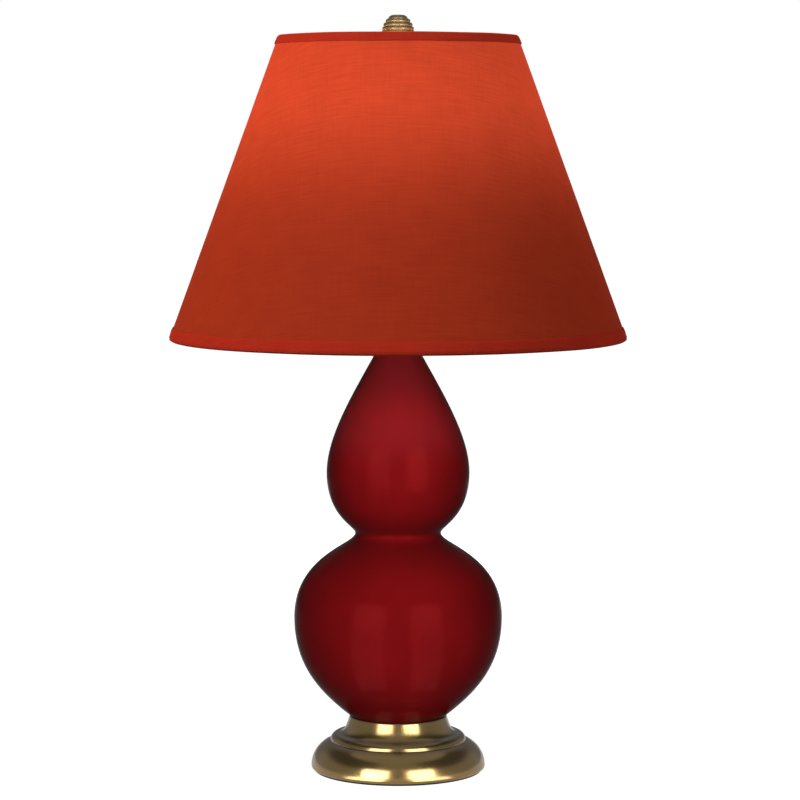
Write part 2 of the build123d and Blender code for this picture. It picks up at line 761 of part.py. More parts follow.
# brass shell with a rolled lip
with BuildPart() as socket_shell:
    with BuildSketch(Plane.XY.offset(socket_bottom)):
        Circle(socket_radius)
        Circle(socket_radius - socket_wall, mode=Mode.SUBTRACT)
    extrude(amount=socket_height)
    with BuildSketch(Plane.XZ):
        with Locations((socket_radius - socket_wall + socket_lip_radius, socket_top - socket_lip_radius)):
            Circle(socket_lip_radius)
    revolve(axis=Axis.Z)
    with BuildSketch(switch_plane):
        Circle(switch_shaft_radius + switch_hole_gap)
    extrude(amount=2 * socket_radius, mode=Mode.SUBTRACT)

# paper tube that insulates the shell
with BuildPart() as socket_liner:
    with BuildSketch(Plane.XY.offset(socket_bottom + seat_gap)):
        Circle(liner_radius)
        Circle(liner_radius - liner_wall, mode=Mode.SUBTRACT)
    extrude(amount=socket_height - 2 * socket_lip_radius)
    with BuildSketch(switch_plane):
        Circle(switch_shaft_radius + switch_hole_gap)
    extrude(amount=2 * socket_radius, mode=Mode.SUBTRACT)

# moulded switch body, with a recess on each side for a terminal screw
with BuildPart() as socket_core:
    with BuildSketch(Plane.XY.offset(core_bottom)):
        Circle(core_radius)
    extrude(amount=core_height)
    with BuildSketch(Plane.XY.offset(core_bottom)):
        with Locations((-core_radius, 0), (core_radius, 0)):
            Rectangle(2 * core_screw_recess, core_screw_recess_width)
    extrude(amount=core_screw_recess_height, mode=Mode.SUBTRACT)
    with BuildSketch(switch_plane.offset(core_radius - switch_shaft_depth)):
        Circle(switch_shaft_radius + turn_gap)
    extrude(amount=2 * switch_shaft_depth, mode=Mode.SUBTRACT)
    screw_seat = core_radius - core_screw_recess
    with BuildSketch(Plane.YZ.offset(-screw_seat)):
        with Locations((0, core_bottom + core_screw_recess_height / 2)):
            Circle(terminal_shank_radius + press_gap)
    extrude(amount=terminal_shank_length, mode=Mode.SUBTRACT)
    with BuildSketch(Plane.YZ.offset(screw_seat)):
        with Locations((0, core_bottom + core_screw_recess_height / 2)):
            Circle(terminal_shank_radius + press_gap)
    extrude(amount=-terminal_shank_length, mode=Mode.SUBTRACT)

# the two terminal screws
with BuildPart() as terminal_screws:
    for side in (-1, 1):
        screw_plane = Plane(
            origin=(side * screw_seat, 0, core_bottom + core_screw_recess_height / 2),
            x_dir=(0, 1, 0),
            z_dir=(side, 0, 0),
        )
        with BuildSketch(screw_plane):
            Circle(terminal_head_radius)
        extrude(amount=terminal_head_thickness)
        with BuildSketch(screw_plane):
            Circle(terminal_shank_radius)
        extrude(amount=-terminal_shank_length)
        with BuildSketch(screw_plane.offset(terminal_head_thickness)):
            Rectangle(set_screw_slot_width, 2 * terminal_head_radius)
        extrude(amount=-set_screw_slot_depth, mode=Mode.SUBTRACT)


def thread_wave(low_radius, turns):
    """Points up the side of a rolled thread: rounds that rise from low_radius by the thread's depth."""
    steps = 6
    points = []
    for i in range(turns * steps + 1):
        rise = bulb_thread_depth * math.sin(math.pi * i / steps) ** 2
        points.append((low_radius + rise, bulb_cap_bottom + i * bulb_thread_pitch / steps))
    return points


# threaded metal shell that takes the bulb: a plain skirt on the core, then the thread
with BuildPart() as screw_shell:
    inner_wave = thread_wave(shell_inside, bulb_thread_turns - 1)
    outer_wave = thread_wave(shell_inside + shell_thread_wall, bulb_thread_turns - 1)
    with BuildSketch(Plane.XZ):
        with BuildLine():
            Polyline(
                inner_wave[0],
                (shell_inside, core_top),
                (shell_inside + shell_thread_wall, core_top),
                outer_wave[0],
            )
            Spline(*outer_wave)
            Line(outer_wave[-1], inner_wave[-1])
            Spline(*inner_wave)
        make_face()
    revolve(axis=Axis.Z)

with BuildPart() as centre_contact:
    with BuildSketch(Plane.XY.offset(core_top)):
        Circle(contact_radius)
    extrude(amount=contact_height)
    fillet(centre_contact.faces().sort_by(Axis.Z)[-1].edges(), contact_round)

# ================================================================ switch
with BuildPart() as switch_shaft:
    shaft_start = core_radius - switch_shaft_depth + seat_gap
    knob_start = socket_radius + switch_knob_stand_off
    shaft_end = knob_start + switch_shaft_grip
    with BuildSketch(switch_plane.offset(shaft_start)):
        Circle(switch_shaft_radius)
    extrude(amount=shaft_end - shaft_start)

# fluted knob
with BuildPart() as switch_knob:
    with BuildSketch(switch_plane.offset(knob_start)):
        Circle(switch_knob_radius)
    extrude(amount=switch_knob_length)
    fillet(switch_knob.faces().sort_by(Axis.Y)[0].edges(), switch_knob_round)
    with BuildSketch(switch_plane.offset(knob_start)):
        with PolarLocations(switch_knob_radius + switch_knob_flute_out, switch_knob_flutes):
            Circle(switch_knob_flute_radius)
    extrude(amount=switch_knob_length - 2 * switch_knob_round, mode=Mode.SUBTRACT)
    with BuildSketch(switch_plane.offset(knob_start)):
        Circle(switch_shaft_radius + press_gap)
    extrude(amount=shaft_end - knob_start, mode=Mode.SUBTRACT)

# ================================================================ bulb
# metal screw cap: the rolled thread, then a plain collar
with BuildPart() as bulb_cap:
    cap_outside = bulb_thread_radius - bulb_thread_depth
    outer_wave = thread_wave(cap_outside, bulb_thread_turns)
    inner_wave = thread_wave(cap_outside - bulb_cap_wall, bulb_thread_turns)
    with BuildSketch(Plane.XZ):
        with BuildLine():
            Spline(*outer_wave)
            Polyline(
                outer_wave[-1],
                (cap_outside, bulb_cap_top),
                (cap_outside - bulb_cap_wall, bulb_cap_top),
                inner_wave[-1],
            )
            Spline(*inner_wave)
            Line(inner_wave[0], outer_wave[0])
        make_face()
    revolve(axis=Axis.Z)

with BuildPart() as bulb_tip:
    with BuildSketch(Plane.XY.offset(bulb_tip_bottom)):
        Circle(bulb_tip_radius)
    extrude(amount=bulb_tip_height)
    fillet(bulb_tip.faces().sort_by(Axis.Z)[0].edges(), bulb_tip_round)

with BuildPart() as bulb_insulator:
    with BuildSketch(Plane.XZ):
        with BuildLine():
            Polyline(
                (0, insulator_bottom),
                (bulb_tip_radius, insulator_bottom),
                (bulb_insulator_top_radius, bulb_cap_bottom),
                (0, bulb_cap_bottom),
                close=True,
            )
        make_face()
    revolve(axis=Axis.Z)


def glass_side(inset):
    """Outline of the bulb's glass, drawn inwards by inset: a neck curve, then a quarter round."""
    neck = (bulb_neck_radius - inset, bulb_cap_top)
    widest = (bulb_radius - inset, bulb_centre)
    swell = Bezier(
        neck,
        (neck[0], neck[1] + bulb_neck_handle),
        (widest[0], widest[1] - bulb_shoulder_handle),
        widest,
    )
    crown = CenterArc((0, bulb_centre), bulb_radius - inset, 0, 90)
    return swell, crown


# hollow glass, its neck cemented into the metal cap
with BuildPart() as bulb_glass:
    glass_bottom = bulb_cap_top - bulb_neck_depth
    for inset, mode in ((0, Mode.ADD), (bulb_wall, Mode.SUBTRACT)):
        with BuildSketch(Plane.XZ):
            with BuildLine():
                glass_side(inset)
                Polyline(
                    (0, bulb_centre + bulb_radius - inset),
                    (0, glass_bottom),
                    (bulb_neck_radius - inset, glass_bottom),
                    (bulb_neck_radius - inset, bulb_cap_top),
                )
            make_face()
        revolve(axis=Axis.Z, mode=mode)

# glass stem with its flare, which closes the neck
with BuildPart() as bulb_stem:
    stem_bottom = glass_bottom
    stem_top = stem_bottom + stem_height
    flare_radius = bulb_neck_radius - bulb_wall - press_gap
    with BuildSketch(Plane.XZ):
        with BuildLine():
            Line((0, stem_bottom), (flare_radius, stem_bottom))
            Bezier(
                (flare_radius, stem_bottom),
                (flare_radius, stem_bottom + stem_flare_handle),
                (stem_tip_radius, stem_bottom + stem_flare_handle),
                (stem_tip_radius, stem_bottom + stem_flare_height),
            )
            Polyline(
                (stem_tip_radius, stem_bottom + stem_flare_height),
                (stem_tip_radius, stem_top),
                (0, stem_top),
                (0, stem_bottom),
            )
        make_face()
    revolve(axis=Axis.Z)

# two support wires and the filament between them
lead_top = stem_top + lead_rise
with BuildPart() as bulb_leads:
    for side in (-1, 1):
        with BuildLine(Plane.XZ) as lead_path:
            Line((side * lead_foot_spread, stem_top), (side * lead_spread, lead_top))
        with BuildSketch(Plane.XY.offset(stem_top)):
            with Locations((side * lead_foot_spread, 0)):
                Circle(lead_radius)
        sweep(path=lead_path.wires()[0])

with BuildPart() as filament:
    filament_half = lead_spread + lead_radius
    filament_bottom = lead_top + filament_radius
    with BuildLine(Plane.XZ) as filament_path:
        ThreePointArc(
            (-filament_half, filament_bottom),
            (0, filament_bottom + filament_sag),
            (filament_half, filament_bottom),
        )
    start = filament_path.wires()[0]
    with BuildSketch(Plane(origin=start @ 0, z_dir=start % 0)):
        Circle(filament_radius)
    sweep(path=start)

# ================================================================ shade
# parchment-stiff liner and the cloth over it, as two cones
with BuildPart() as shade_liner:
    with BuildSketch(Plane.XZ):
        with BuildLine():
            Polyline(
                on_slant(trim_thickness + glue_gap, liner_face),
                on_slant(shade_slant - trim_thickness - glue_gap, liner_face),
                on_slant(shade_slant - trim_thickness - glue_gap, liner_back),
                on_slant(trim_thickness + glue_gap, liner_back),
                close=True,
            )
        make_face()
    revolve(axis=Axis.Z)

with BuildPart() as shade_cover:
    with BuildSketch(Plane.XZ):
        with BuildLine():
            Polyline(
                on_slant(trim_thickness + glue_gap, cover_face),
                on_slant(shade_slant - trim_thickness - glue_gap, cover_face),
                on_slant(shade_slant - trim_thickness - glue_gap, cover_face - cover_thickness),
                on_slant(trim_thickness + glue_gap, cover_face - cover_thickness),
                close=True,
            )
        make_face()
    revolve(axis=Axis.Z)


def trim_outline(edge, direction, band):
    """The turned-over trim strip: a band outside, round the edge, and up past the ring inside."""
    over_wire = ring_along + ring_wire_radius
    back_face = liner_back - glue_gap
    profile = [
        (0, 0),
        (band, 0),
        (band, -trim_thickness),
        (trim_thickness, -trim_thickness),
        (trim_thickness, trim_depth + trim_thickness),
        (over_wire, trim_depth + trim_thickness),
        (over_wire + trim_return, back_face),
        (over_wire + trim_return + 2 * trim_thickness, back_face),
        (over_wire + trim_thickness, trim_depth),
        (0, trim_depth),
    ]
    return [on_slant(edge + direction * along, out) for along, out in profile]


with BuildPart() as bottom_trim:
    with BuildSketch(Plane.XZ):
        with BuildLine():
            Polyline(*trim_outline(0, 1, bottom_trim_height), close=True)
        make_face()
    revolve(axis=Axis.Z)

ring_radius_low, ring_height_low = on_slant(ring_along, ring_depth)
ring_radius_high, ring_height_high = on_slant(shade_slant - ring_along, ring_depth)

with BuildPart() as bottom_ring:
    with BuildSketch(Plane.XZ):
        with Locations((ring_radius_low, ring_height_low)):
            Circle(ring_wire_radius)
    revolve(axis=Axis.Z)


def spider_arm_set(radius):
    """The arms as round rods from the washer out to the top ring."""
    with BuildPart() as arms:
        with BuildLine(Plane.XZ) as arm_path:
            FilletPolyline(
                (washer_radius - spider_arm_radius, washer_middle),
                (ring_radius_high - spider_bend_back, washer_middle),
                (ring_radius_high, ring_height_high),
                radius=spider_bend_radius,
            )
        with BuildSketch(Plane.YZ.offset(washer_radius - spider_arm_radius)):
            with Locations((0, washer_middle)):
                Circle(radius)
        sweep(path=arm_path.wires()[0])
    bearings = [spider_arm_bearing + 360 * i / spider_arms for i in range(spider_arms)]
    return [arms.part.rotate(Axis.Z, bearing) for bearing in bearings]


# welded frame: washer, arms and the top ring
with BuildPart() as spider_fitter:
    with BuildSketch(Plane.XZ):
        with Locations((ring_radius_high, ring_height_high)):
            Circle(ring_wire_radius)
    revolve(axis=Axis.Z)
    for arm in spider_arm_set(spider_arm_radius):
        add(arm)
    with BuildSketch(Plane.XY.offset(washer_bottom)):
        Circle(washer_radius)
    extrude(amount=washer_thickness)
    with BuildSketch(Plane.XY.offset(washer_bottom - spider_arm_radius)):
        Circle(washer_hole_radius)
    extrude(amount=washer_thickness + 2 * spider_arm_radius, mode=Mode.SUBTRACT)

# the top trim is notched where the arms come in
with BuildPart() as top_trim:
    with BuildSketch(Plane.XZ):
        with BuildLine():
            Polyline(*trim_outline(shade_slant, -1, top_trim_height), close=True)
        make_face()
    revolve(axis=Axis.Z)
    for arm in spider_arm_set(spider_arm_radius + ring_pocket_gap):
        add(arm, mode=Mode.SUBTRACT)

# ================================================================ finial
# turned brass knob: a foot, a neck and rounded tiers up to a flat-topped button, with a blind thread
with BuildPart() as finial:
    finial_top = finial_bottom + finial_height
    finial_foot_top = finial_bottom + finial_foot_height
    tier_bottom = finial_foot_top + finial_neck_height
    tier_height = (finial_top - tier_bottom) / (len(finial_tier_radii) + 1)
    button_bottom = finial_top - tier_height
    groove_radii = [min(pair) - finial_groove for pair in zip(finial_tier_radii, finial_tier_radii[1:])]
    groove_radii = [finial_tier_radii[0] - finial_groove] + groove_radii + [finial_button_radius]
    with BuildSketch(Plane.XZ):
        with BuildLine():
            Line((0, finial_bottom), (finial_foot_radius, finial_bottom))
            ThreePointArc(
                (finial_foot_radius, finial_bottom),
                (finial_foot_radius + finial_foot_bulge, finial_bottom + finial_foot_height / 2),
                (finial_foot_radius, finial_foot_top),
            )
            Bezier(
                (finial_foot_radius, finial_foot_top),
                (finial_neck_radius, finial_foot_top),
                (finial_neck_radius, tier_bottom),
                (groove_radii[0], tier_bottom),
            )
            for i, tier_radius in enumerate(finial_tier_radii):
                ThreePointArc(
                    (groove_radii[i], tier_bottom + i * tier_height),
                    (tier_radius, tier_bottom + (i + 0.5) * tier_height),
                    (groove_radii[i + 1], tier_bottom + (i + 1) * tier_height),
                )
            Bezier(
                (finial_button_radius, button_bottom),
                (finial_button_radius, button_bottom + finial_button_side),
                (finial_button_flat + finial_button_round, finial_top),
                (finial_button_flat, finial_top),
            )
            Line((finial_button_flat, finial_top), (0, finial_top))
            Line((0, finial_top), (0, finial_bottom))
        make_face()
    revolve(axis=Axis.Z)
    with BuildSketch(Plane.XY.offset(finial_bottom)):
        Circle(stud_radius + finial_thread_gap)
    extrude(amount=stud_length + finial_thread_spare, mode=Mode.SUBTRACT)

# ================================================================ write the pieces
pieces = {
    "felt_pad": felt_pad,
    "pedestal": pedestal,
    "cord_bushing": cord_bushing,
    "base_weight": base_weight,
    "pipe_washer": pipe_washer,
    "pipe_locknut": pipe_locknut,
    "lamp_pipe": lamp_pipe,
    "seat_gasket": seat_gasket,
    "gourd_body": gourd_body,
    "vase_cap": vase_cap,
    "neck_tube": neck_tube,
    "harp_saddle": harp_saddle,
    "saddle_nut": saddle_nut,
    "socket_cap": socket_cap,
    "cap_set_screw": cap_set_screw,
    "socket_shell": socket_shell,
    "socket_liner": socket_liner,
    "socket_core": socket_core,
    "terminal_screws": terminal_screws,
    "screw_shell": screw_shell,
    "centre_contact": centre_contact,
    "switch_shaft": switch_shaft,
    "switch_knob": switch_knob,
    "bulb_cap": bulb_cap,
    "bulb_tip": bulb_tip,
    "bulb_insulator": bulb_insulator,
    "bulb_glass": bulb_glass,
    "bulb_stem": bulb_stem,
    "bulb_leads": bulb_leads,
    "filament": filament,
    "harp_bow": harp_bow,
    "harp_foot_left": harp_foot_left,
    "harp_foot_right": harp_foot_right,
    "harp_head": harp_head,
    "harp_stud": harp_stud,
    "harp_sleeve_left": harp_sleeve_left,
    "harp_sleeve_right": harp_sleeve_right,
    "spider_fitter": spider_fitter,
    "bottom_ring": bottom_ring,
    "shade_liner": shade_liner,
    "shade_cover": shade_cover,
    "bottom_trim": bottom_trim,
    "top_trim": top_trim,
    "finial": finial,
}
os.makedirs("parts", exist_ok=True)
for name, piece in pieces.items():
    piece.part.label = name
    export_step(piece.part, f"parts/{name}.step")
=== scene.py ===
import math

import bpy
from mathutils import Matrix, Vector, noise


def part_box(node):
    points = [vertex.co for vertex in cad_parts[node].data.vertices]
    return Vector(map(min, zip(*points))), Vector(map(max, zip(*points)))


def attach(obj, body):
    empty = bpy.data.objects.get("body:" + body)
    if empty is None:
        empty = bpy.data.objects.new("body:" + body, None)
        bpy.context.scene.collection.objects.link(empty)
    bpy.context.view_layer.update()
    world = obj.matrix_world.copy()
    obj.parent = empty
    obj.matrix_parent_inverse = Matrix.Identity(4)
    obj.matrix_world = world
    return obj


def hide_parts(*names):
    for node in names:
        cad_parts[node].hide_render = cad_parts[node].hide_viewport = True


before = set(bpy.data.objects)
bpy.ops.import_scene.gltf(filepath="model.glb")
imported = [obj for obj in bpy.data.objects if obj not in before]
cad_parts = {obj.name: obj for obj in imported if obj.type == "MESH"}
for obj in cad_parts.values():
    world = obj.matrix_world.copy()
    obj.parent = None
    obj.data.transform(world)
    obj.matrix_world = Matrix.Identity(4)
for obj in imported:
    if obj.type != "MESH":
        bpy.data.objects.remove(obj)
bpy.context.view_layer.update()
millimetre = 0.001


# Shader helpers: toLinear turns a screen colour into a shader's, and the others add nodes to a tree and give
# back what comes out of them.


def toLinear(red, green, blue):
    def channel(level):
        share = level / 255
        return share / 12.92 if share <= 0.04045 else ((share + 0.055) / 1.055) ** 2.4

    return channel(red), channel(green), channel(blue), 1.0


def put(tree, kind, sockets, **settings):
    node = tree.nodes.new("ShaderNode" + kind)
    for name, value in settings.items():
        setattr(node, name, value)
    for name, value in sockets.items():
        if isinstance(value, bpy.types.NodeSocket):
            tree.links.new(value, node.inputs[name])
        else:
            node.inputs[name].default_value = value
    return node


def calc(tree, operation, *values):
    return put(tree, "Math", dict(enumerate(values)), operation=operation).outputs[0]


def plus(tree, first, second):
    return calc(tree, "ADD", first, second)


def times(tree, first, *others):
    for other in others:
        first = calc(tree, "MULTIPLY", first, other)
    return first


def remap(tree, value, fromLow, fromHigh, toLow, toHigh, kind="LINEAR"):
    sockets = {0: value, 1: fromLow, 2: fromHigh, 3: toLow, 4: toHigh}
    return put(tree, "MapRange", sockets, interpolation_type=kind).outputs[0]


def ramp(tree, value, start, end, fromShare, toShare):
    return remap(tree, value, start, end, fromShare, toShare, "SMOOTHSTEP")


def blendColours(tree, share, first, second):
    # a Mix node keeps its colours in sockets 6 and 7
    return put(tree, "Mix", {0: share, 6: first, 7: second}, data_type="RGBA").outputs[2]


def blendShaders(tree, share, first, second):
    return put(tree, "MixShader", {0: share, 1: first, 2: second}).outputs[0]


def cloudy(tree, place, size, detail=2.0, roughness=0.5):
    sockets = {"Vector": place, "Scale": 1 / size, "Detail": detail, "Roughness": roughness}
    return put(tree, "TexNoise", sockets).outputs[0]


def stretched(tree, place, *factors):
    return put(tree, "VectorMath", {0: place, 1: factors}, operation="MULTIPLY").outputs[0]


def bumped(tree, height, depth, strength=1.0):
    return put(tree, "Bump", {"Height": height, "Distance": depth, "Strength": strength}).outputs[0]


def objectPlace(tree):
    return put(tree, "TexCoord", {}).outputs["Object"]


def parts(tree, place):
    return put(tree, "SeparateXYZ", {0: place}).outputs


def lengthOf(tree, x, y):
    return calc(tree, "SQRT", plus(tree, times(tree, x, x), times(tree, y, y)))


def bearingOf(tree, x, y):
    # radians round from the front, towards the right
    return calc(tree, "ARCTAN2", x, times(tree, y, -1.0))


def straightRays(tree, rays):
    return calc(tree, "MAXIMUM", rays["Is Camera Ray"], rays["Is Transmission Ray"])


def startMaterial(name, sockets):
    material = bpy.data.materials.new(name)
    material.use_nodes = True
    shader = material.node_tree.nodes["Principled BSDF"]
    for socket, value in sockets.items():
        shader.inputs[socket].default_value = value
    return material, material.node_tree, shader


def give(material, *nodeNames):
    for nodeName in nodeNames:
        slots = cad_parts[nodeName].data.materials
        slots.clear()
        slots.append(material)


# Camera: the photo's, level with the shade and looking slightly down.
photoView = {
    "imageWidth": 800,
    "focalPixels": 3033,
    "distance": 2.178,
    "height": 0.4574,
    "tiltDown": 0.08612,  # radians
    "sideways": 0.0014,
    "sensor": 36.0,
}


def makeCamera():
    data = bpy.data.cameras.new("camera")
    data.sensor_width = photoView["sensor"]
    data.lens = photoView["focalPixels"] / photoView["imageWidth"] * photoView["sensor"]
    camera = bpy.data.objects.new("camera", data)
    camera.location = (photoView["sideways"], -photoView["distance"], photoView["height"])
    camera.rotation_euler = (math.pi / 2 - photoView["tiltDown"], 0, 0)
    bpy.context.collection.objects.link(camera)
    bpy.context.scene.camera = camera


makeCamera()
print("camera set")


# Lamps: softboxes that only show in the brass and the glaze, fills beside them that throw the light on all but the
# shade, a broad lamp behind, and a pair for the shade alone.
lamps = {
    # bearings are degrees round from the front, towards the right; rises are degrees above level
    "softboxes": {"width": 0.86, "height": 0.86, "distance": 1.35, "middle": 0.43, "bearing": 31, "radiance": 5.8},
    "fills": {"width": 1.0, "height": 0.9, "distance": 1.35, "middle": 0.42, "bearing": 18, "radiance": 2.6},
    "behind": {"width": 1.5, "height": 0.9, "distance": 1.35, "middle": 0.42, "bearing": 180, "radiance": 1.9},
    "shadePair": {"width": 0.6, "height": 0.6, "distance": 1.5, "middle": 0.43, "rise": 25},
    "shadeLeft": {"bearing": -52, "light": 4.0},  # light is what reaches the shade, whatever the lamp's size
    "shadeRight": {"bearing": 60, "light": 1.6},
}
shadeAlone = bpy.data.collections.new("shadeAlone")
allButShade = bpy.data.collections.new("allButShade")


def placeLamp(name, box, radiance, bearing, rise=0.0):
    data = bpy.data.lights.new(name, "AREA")
    data.shape = "RECTANGLE"
    data.size, data.size_y = box["width"], box["height"]
    data.energy = radiance * math.pi * data.size * data.size_y
    lamp = bpy.data.objects.new(name, data)
    turn, lift = math.radians(bearing), math.radians(rise)
    lamp.location = (
        box["distance"] * math.cos(lift) * math.sin(turn),
        -box["distance"] * math.cos(lift) * math.cos(turn),
        box["middle"] + box["distance"] * math.sin(lift),
    )
    lamp.rotation_euler = (math.pi / 2 - lift, 0, turn)
    lamp.visible_camera = False
    bpy.context.collection.objects.link(lamp)
    return lamp


def hangLamps():
    sides = (("left", -1), ("right", 1))
    box = lamps["softboxes"]
    for side, sign in sides:
        lamp = placeLamp(side + "Softbox", box, box["radiance"], sign * box["bearing"])
        lamp.visible_diffuse = False
    box = lamps["fills"]
    for side, sign in sides:
        lamp = placeLamp(side + "Fill", box, box["radiance"], sign * box["bearing"])
        lamp.visible_glossy = False
        lamp.light_linking.receiver_collection = allButShade
    box = lamps["behind"]
    lamp = placeLamp("behind", box, box["radiance"], box["bearing"])
    lamp.visible_glossy = False
    box = lamps["shadePair"]
    for name in ("shadeLeft", "shadeRight"):
        radiance = lamps[name]["light"] * box["distance"] ** 2 / (box["width"] * box["height"])
        lamp = placeLamp(name, box, radiance, lamps[name]["bearing"], box["rise"])
        lamp.light_linking.receiver_collection = shadeAlone


# Surround: white to the camera and a faint light on the scene. Reflections see grey walls with a darker drape
# round the camera, and above them a grey ceiling with dark sides.
surround = {
    "light": 0.09,
    "drape": 0.14,
    "walls": 0.25,
    "wallEdges": (0.35, 0.75),  # how far aside the drape gives way to the walls
    "ceiling": 0.25,
    "ceilingSides": 0.07,
    "ceilingEdges": (0.2, 0.5),  # how far aside the ceiling gives way to its sides
    "ceilingStart": (0.35, 0.6),  # how far up the walls give way to the ceiling
}


def makeSurround():
    world = bpy.data.worlds.new("surround")
    world.use_nodes = True
    bpy.context.scene.world = world
    tree = world.node_tree
    tree.nodes.clear()

    def background(strength):
        return put(tree, "Background", {"Color": (1, 1, 1, 1), "Strength": strength}).outputs[0]

    rays = put(tree, "LightPath", {}).outputs
    x, _, z = parts(tree, put(tree, "TexCoord", {}).outputs["Generated"])
    aside = calc(tree, "ABSOLUTE", x)
    low = ramp(tree, aside, *surround["wallEdges"], surround["drape"], surround["walls"])
    high = ramp(tree, aside, *surround["ceilingEdges"], surround["ceiling"], surround["ceilingSides"])
    up = ramp(tree, z, *surround["ceilingStart"], 0, 1)
    gloss = plus(tree, times(tree, low, calc(tree, "SUBTRACT", 1, up)), times(tree, high, up))
    lit = blendShaders(tree, rays["Is Glossy Ray"], background(surround["light"]), background(gloss))
    seen = blendShaders(tree, straightRays(tree, rays), lit, background(1.0))
    put(tree, "OutputWorld", {"Surface": seen})


# Floor: a white sweep to the camera, clear from below so that the foot can be looked at. Reflections see it grey,
# with a brighter pane towards each softbox.
sweep = {
    "radius": 12.0,
    "corners": 128,
    "drop": 0.0002,  # just under the felt
    "colour": 0.60,
    "nearWhite": 0.90,  # how white it looks round the lamp
    "whiteReach": (0.25, 1.3),  # metres from the lamp's axis over which it turns fully white
    "gloss": 0.25,
    "paneGloss": 4.0,
    "paneBearings": (0.24, 0.84),  # radians from the front
    "paneBlurs": (0.02, 0.03),  # how soft those two edges are
    "paneStart": (0.072, 0.088),  # metres from the lamp's axis
    "paneEnd": (1.2, 1.35),
}


def makeFloor():
    place = (0, 0, -sweep["drop"])
    radius, corners = sweep["radius"], sweep["corners"]
    bpy.ops.mesh.primitive_circle_add(vertices=corners, radius=radius, location=place, fill_type="NGON")
    floor = bpy.context.object
    floor.name = "floor"
    grey = sweep["colour"]
    sockets = {
        "Base Color": (grey, grey, grey, 1),
        "Roughness": 1.0,
        "Specular IOR Level": 0.0,
        "Emission Color": (1, 1, 1, 1),
    }
    material, tree, shader = startMaterial("paleFloor", sockets)
    rays = put(tree, "LightPath", {}).outputs
    x, y, _ = parts(tree, objectPlace(tree))
    away = lengthOf(tree, x, y)
    white = ramp(tree, away, *sweep["whiteReach"], sweep["nearWhite"], 1.0)
    turn = bearingOf(tree, calc(tree, "ABSOLUTE", x), y)
    (first, last), (firstBlur, lastBlur) = sweep["paneBearings"], sweep["paneBlurs"]
    pane = times(
        tree,
        ramp(tree, turn, first - firstBlur, first + firstBlur, 0, 1),
        ramp(tree, turn, last - lastBlur, last + lastBlur, 1, 0),
        ramp(tree, away, *sweep["paneStart"], 0, 1),
        ramp(tree, away, *sweep["paneEnd"], 1, 0),
    )
    gloss = plus(tree, sweep["gloss"], times(tree, pane, sweep["paneGloss"]))
    seen = times(tree, straightRays(tree, rays), white)
    glow = plus(tree, seen, times(tree, rays["Is Glossy Ray"], gloss))
    tree.links.new(glow, shader.inputs["Emission Strength"])
    material.cycles.emission_sampling = "NONE"
    below = put(tree, "NewGeometry", {}).outputs["Backfacing"]
    clear = put(tree, "BsdfTransparent", {}).outputs[0]
    surface = blendShaders(tree, below, shader.outputs[0], clear)
    tree.links.new(surface, tree.nodes["Material Output"].inputs["Surface"])
    floor.data.materials.append(material)


# Card: grey, and only reflections see it, so that the brass foot mirrors it and not the lit shade above.
greyCard = {"radius": 0.13, "corners": 96, "height": 0.178, "gloss": 0.30}


def hangCard():
    place = (0, 0, greyCard["height"])
    radius, corners = greyCard["radius"], greyCard["corners"]
    bpy.ops.mesh.primitive_circle_add(vertices=corners, radius=radius, location=place, fill_type="NGON")
    card = bpy.context.object
    card.name = "greyCard"
    sockets = {
        "Base Color": (0, 0, 0, 1),
        "Roughness": 1.0,
        "Specular IOR Level": 0.0,
        "Emission Color": (1, 1, 1, 1),
        "Emission Strength": greyCard["gloss"],
    }
    material, _, _ = startMaterial("cardGrey", sockets)
    material.cycles.emission_sampling = "NONE"
    card.data.materials.append(material)
    card.visible_camera = False
    card.visible_diffuse = False
    card.visible_transmission = False
    card.visible_shadow = False


hangLamps()
makeSurround()
makeFloor()
hangCard()
bpy.context.scene.view_settings.view_transform = "Standard"
print("studio lit")


# Gourd: deep oxblood glaze, red light back from within it under a clear layer that darkens towards the edges.
glaze = {
    "deepRed": (160, 18, 21),
    "fullRed": (178, 21, 25),
    "cloudSize": 0.045,
    "cloudNoise": (0.3, 0.7),  # the span of the noise that runs from deep to full red
    "speckSize": 0.0016,
    "speckNoise": (0.68, 0.8),
    "speckShare": 0.3,
    "thinRed": (128, 28, 22),  # just above the foot
    "thinHeight": 0.0030,
    "thinShare": 0.7,
    "crownPaintedLight": (180, 32, 38),  # painted light from the lit shade above, paler and cooler on the upper bulb
    "crownPaintedLightHeights": (0.222, 0.250),
    # painted shade under the lamp shade, darker towards the mouth
    "mouthPaintedShade": (146, 30, 39),
    "mouthPaintedShadeHeights": (0.258, 0.292),
    "lustre": 0.025,
    "lustreRoughness": 0.20,
    "layerTint": (0.61, 0.84, 0.86, 1),
    "layerBend": 1.038,
    "layerRoughness": 0.10,
    "swellSize": 0.016,
    "skinSize": 0.0022,
    "skinShare": 0.05,
    "ripple": 0.00010,
}


